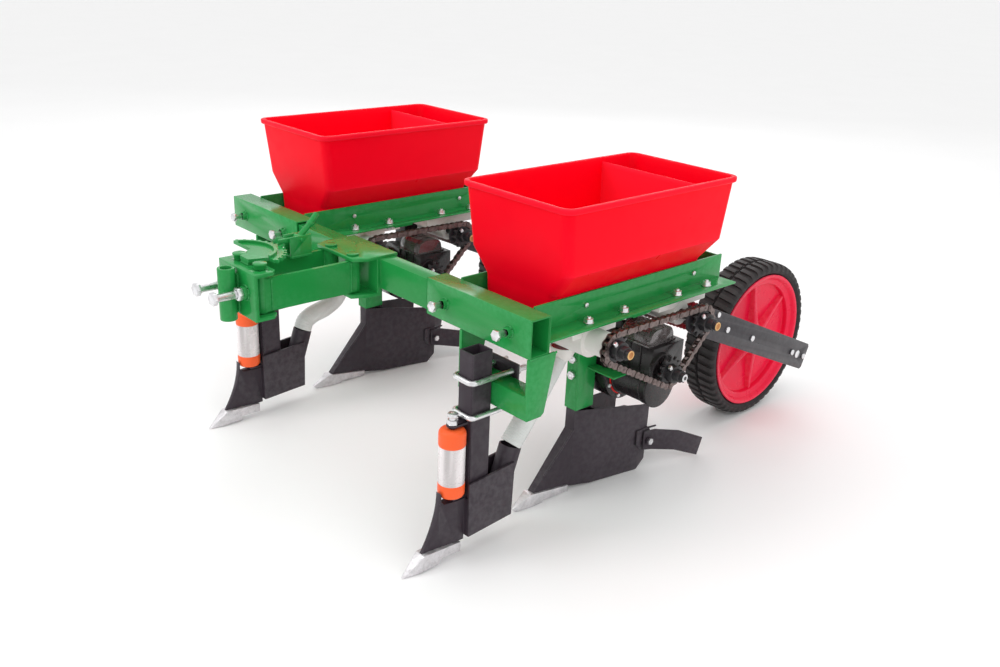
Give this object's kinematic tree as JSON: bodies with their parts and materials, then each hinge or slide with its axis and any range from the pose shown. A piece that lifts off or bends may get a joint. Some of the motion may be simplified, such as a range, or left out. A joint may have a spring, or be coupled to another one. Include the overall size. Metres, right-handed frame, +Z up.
{
  "type": "corn planter",
  "caption": "Tractor-mounted row planter: steerable drawbar head on a toolbar, hopper-fed units with openers in front and a ground wheel that drives the meters by chain.",
  "frame": {"origin": "centre of the hitch pin bore at the front of the drawbar head", "axes": "+Z up along the hitch bore, -Y forwards to the tractor, +X across the rows towards the right row"},
  "size_m": [1.143, 1.475, 0.7],
  "materials": {
    "green_paint": "glossy green enamel",
    "black_paint": "satin black enamel",
    "grey_paint": "satin dark grey enamel",
    "zinc": "bright zinc-plated steel",
    "cast_silver": "silver-painted casting, slightly rough",
    "chain_steel": "dark oiled steel",
    "red_plastic": "glossy moulded red plastic",
    "white_plastic": "off-white moulded plastic",
    "black_plastic": "black moulded plastic",
    "smoky_plastic": "smoky clear plastic",
    "hose_plastic": "light grey ribbed plastic hose",
    "orange_plastic": "orange plastic over an off-white tube",
    "tyre_rubber": "charcoal lugged rubber",
    "rim_paint": "pinkish-red enamel"
  },
  "bodies": {
    "toolbar": {"toolbar": "green_paint", "rear_pins": "green_paint"},
    "link_far": {"link_far": "green_paint", "pawl_box": "green_paint"},
    "link_near": {"link_near": "green_paint"},
    "drawbar_head": {"drawbar_head": "green_paint", "steering_sector": "green_paint", "front_pins": "green_paint", "stay_lock_nuts": "zinc"},
    "pawl_lever": {"pawl_lever": "green_paint"},
    "stay_bolt_near": {"stay_bolt_near": "zinc"},
    "stay_bolt_far": {"stay_bolt_far": "zinc"},
    "left_row": {"left_sleeve": "green_paint", "left_rails": "green_paint", "left_fasteners": "zinc", "left_hopper": "red_plastic", "left_feed_boxes": "white_plastic", "left_seed_meter": "black_plastic", "left_meter_window": "smoky_plastic", "left_shank_bracket": "green_paint", "left_seed_opener": "black_paint", "left_seed_share": "cast_silver", "left_feed_chain": "chain_steel", "left_hose": "hose_plastic"},
    "left_fertilizer_opener": {"left_fertilizer_opener": "black_paint", "left_fertilizer_share": "cast_silver"},
    "left_roller": {"left_roller": "orange_plastic"},
    "left_fork": {"left_fork": "grey_paint", "left_wheel_chain": "chain_steel", "left_axle": "zinc"},
    "left_wheel": {"left_tyre": "tyre_rubber", "left_rim": "rim_paint"},
    "left_drive_shaft": {"left_drive_shaft": "chain_steel"},
    "left_fertilizer_shaft": {"left_fertilizer_shaft": "chain_steel"},
    "left_seed_shaft": {"left_seed_shaft": "chain_steel"},
    "left_coverer": {"left_coverer": "black_paint"},
    "right_row": {"right_sleeve": "green_paint", "right_rails": "green_paint", "right_fasteners": "zinc", "right_hopper": "red_plastic", "right_feed_boxes": "white_plastic", "right_seed_meter": "black_plastic", "right_meter_window": "smoky_plastic", "right_shank_bracket": "green_paint", "right_seed_opener": "black_paint", "right_seed_share": "cast_silver", "right_feed_chain": "chain_steel", "right_hose": "hose_plastic"},
    "right_fertilizer_opener": {"right_fertilizer_opener": "black_paint", "right_fertilizer_share": "cast_silver"},
    "right_roller": {"right_roller": "orange_plastic"},
    "right_fork": {"right_fork": "grey_paint", "right_wheel_chain": "chain_steel", "right_axle": "zinc"},
    "right_wheel": {"right_tyre": "tyre_rubber", "right_rim": "rim_paint"},
    "right_drive_shaft": {"right_drive_shaft": "chain_steel"},
    "right_fertilizer_shaft": {"right_fertilizer_shaft": "chain_steel"},
    "right_seed_shaft": {"right_seed_shaft": "chain_steel"},
    "right_coverer": {"right_coverer": "black_paint"}
  },
  "joints": [
    {"name": "far_link_swing", "type": "hinge", "parent": "toolbar", "child": "link_far", "pos_m": [-0.04, 0.263, 0], "axis": [0, 0, 1], "range_deg": [-20, 20]},
    {"name": "near_link_swing", "type": "hinge", "parent": "toolbar", "child": "link_near", "pos_m": [0.04, 0.263, 0], "axis": [0, 0, 1], "range_deg": [-20, 20]},
    {"name": "head_swing", "type": "hinge", "parent": "link_far", "child": "drawbar_head", "pos_m": [-0.04, 0.051, 0], "axis": [0, 0, 1], "range_deg": [-20, 20]},
    {"name": "pawl_lift", "type": "hinge", "parent": "link_far", "child": "pawl_lever", "pos_m": [-0.042, 0.185, 0.07], "axis": [-1, 0, 0], "range_deg": [-8, 25]},
    {"name": "near_stay_screw", "type": "slide", "parent": "drawbar_head", "child": "stay_bolt_near", "axis": [0, 1, 0], "range_m": [-0.012, 0.003]},
    {"name": "far_stay_screw", "type": "slide", "parent": "drawbar_head", "child": "stay_bolt_far", "axis": [0, 1, 0], "range_m": [-0.012, 0.003]},
    {"name": "left_row_slide", "type": "slide", "parent": "toolbar", "child": "left_row", "axis": [1, 0, 0], "range_m": [-0.07, 0.1]},
    {"name": "left_opener_depth", "type": "slide", "parent": "left_row", "child": "left_fertilizer_opener", "axis": [0, 0, 1], "range_m": [-0.04, 0.005], "deforming": ["left_hose"]},
    {"name": "left_roller_spin", "type": "hinge", "parent": "left_fertilizer_opener", "child": "left_roller", "pos_m": [-0.3545, 0.222, -0.266], "axis": [0, 0, 1], "continuous": true},
    {"name": "left_fork_swing", "type": "hinge", "parent": "left_row", "child": "left_fork", "pos_m": [-0.3875, 0.783, -0.063], "axis": [-1, 0, 0], "range_deg": [0, 14]},
    {"name": "left_wheel_spin", "type": "hinge", "parent": "left_fork", "child": "left_wheel", "pos_m": [-0.3875, 1.224, -0.256], "axis": [1, 0, 0], "continuous": true},
    {"name": "left_drive_spin", "type": "hinge", "parent": "left_row", "child": "left_drive_shaft", "pos_m": [-0.3875, 0.783, -0.063], "axis": [1, 0, 0], "continuous": true},
    {"name": "left_fertilizer_spin", "type": "hinge", "parent": "left_row", "child": "left_fertilizer_shaft", "pos_m": [-0.3875, 0.508, -0.057], "axis": [1, 0, 0], "continuous": true},
    {"name": "left_seed_spin", "type": "hinge", "parent": "left_row", "child": "left_seed_shaft", "pos_m": [-0.3875, 0.689, -0.154], "axis": [1, 0, 0], "continuous": true},
    {"name": "left_coverer_swing", "type": "hinge", "parent": "left_row", "child": "left_coverer", "pos_m": [-0.3875, 0.78, -0.387], "axis": [1, 0, 0], "range_deg": [0, 25]},
    {"name": "right_row_slide", "type": "slide", "parent": "toolbar", "child": "right_row", "axis": [1, 0, 0], "range_m": [-0.1, 0.07]},
    {"name": "right_opener_depth", "type": "slide", "parent": "right_row", "child": "right_fertilizer_opener", "axis": [0, 0, 1], "range_m": [-0.04, 0.005], "deforming": ["right_hose"]},
    {"name": "right_roller_spin", "type": "hinge", "parent": "right_fertilizer_opener", "child": "right_roller", "pos_m": [0.4205, 0.222, -0.266], "axis": [0, 0, 1], "continuous": true},
    {"name": "right_fork_swing", "type": "hinge", "parent": "right_row", "child": "right_fork", "pos_m": [0.3875, 0.783, -0.063], "axis": [-1, 0, 0], "range_deg": [0, 14]},
    {"name": "right_wheel_spin", "type": "hinge", "parent": "right_fork", "child": "right_wheel", "pos_m": [0.3875, 1.224, -0.256], "axis": [1, 0, 0], "continuous": true},
    {"name": "right_drive_spin", "type": "hinge", "parent": "right_row", "child": "right_drive_shaft", "pos_m": [0.3875, 0.783, -0.063], "axis": [1, 0, 0], "continuous": true},
    {"name": "right_fertilizer_spin", "type": "hinge", "parent": "right_row", "child": "right_fertilizer_shaft", "pos_m": [0.3875, 0.508, -0.057], "axis": [1, 0, 0], "continuous": true},
    {"name": "right_seed_spin", "type": "hinge", "parent": "right_row", "child": "right_seed_shaft", "pos_m": [0.3875, 0.689, -0.154], "axis": [1, 0, 0], "continuous": true},
    {"name": "right_coverer_swing", "type": "hinge", "parent": "right_row", "child": "right_coverer", "pos_m": [0.3875, 0.78, -0.387], "axis": [1, 0, 0], "range_deg": [0, 25]}
  ],
  "couplings": [
    {"joint": "near_link_swing", "follows": "far_link_swing", "ratio": 1},
    {"joint": "head_swing", "follows": "far_link_swing", "ratio": -1},
    {"joint": "left_drive_spin", "follows": "left_wheel_spin", "ratio": 1},
    {"joint": "left_fertilizer_spin", "follows": "left_wheel_spin", "ratio": 1},
    {"joint": "left_seed_spin", "follows": "left_wheel_spin", "ratio": 1},
    {"joint": "right_drive_spin", "follows": "right_wheel_spin", "ratio": 1},
    {"joint": "right_fertilizer_spin", "follows": "right_wheel_spin", "ratio": 1},
    {"joint": "right_seed_spin", "follows": "right_wheel_spin", "ratio": 1}
  ]
}
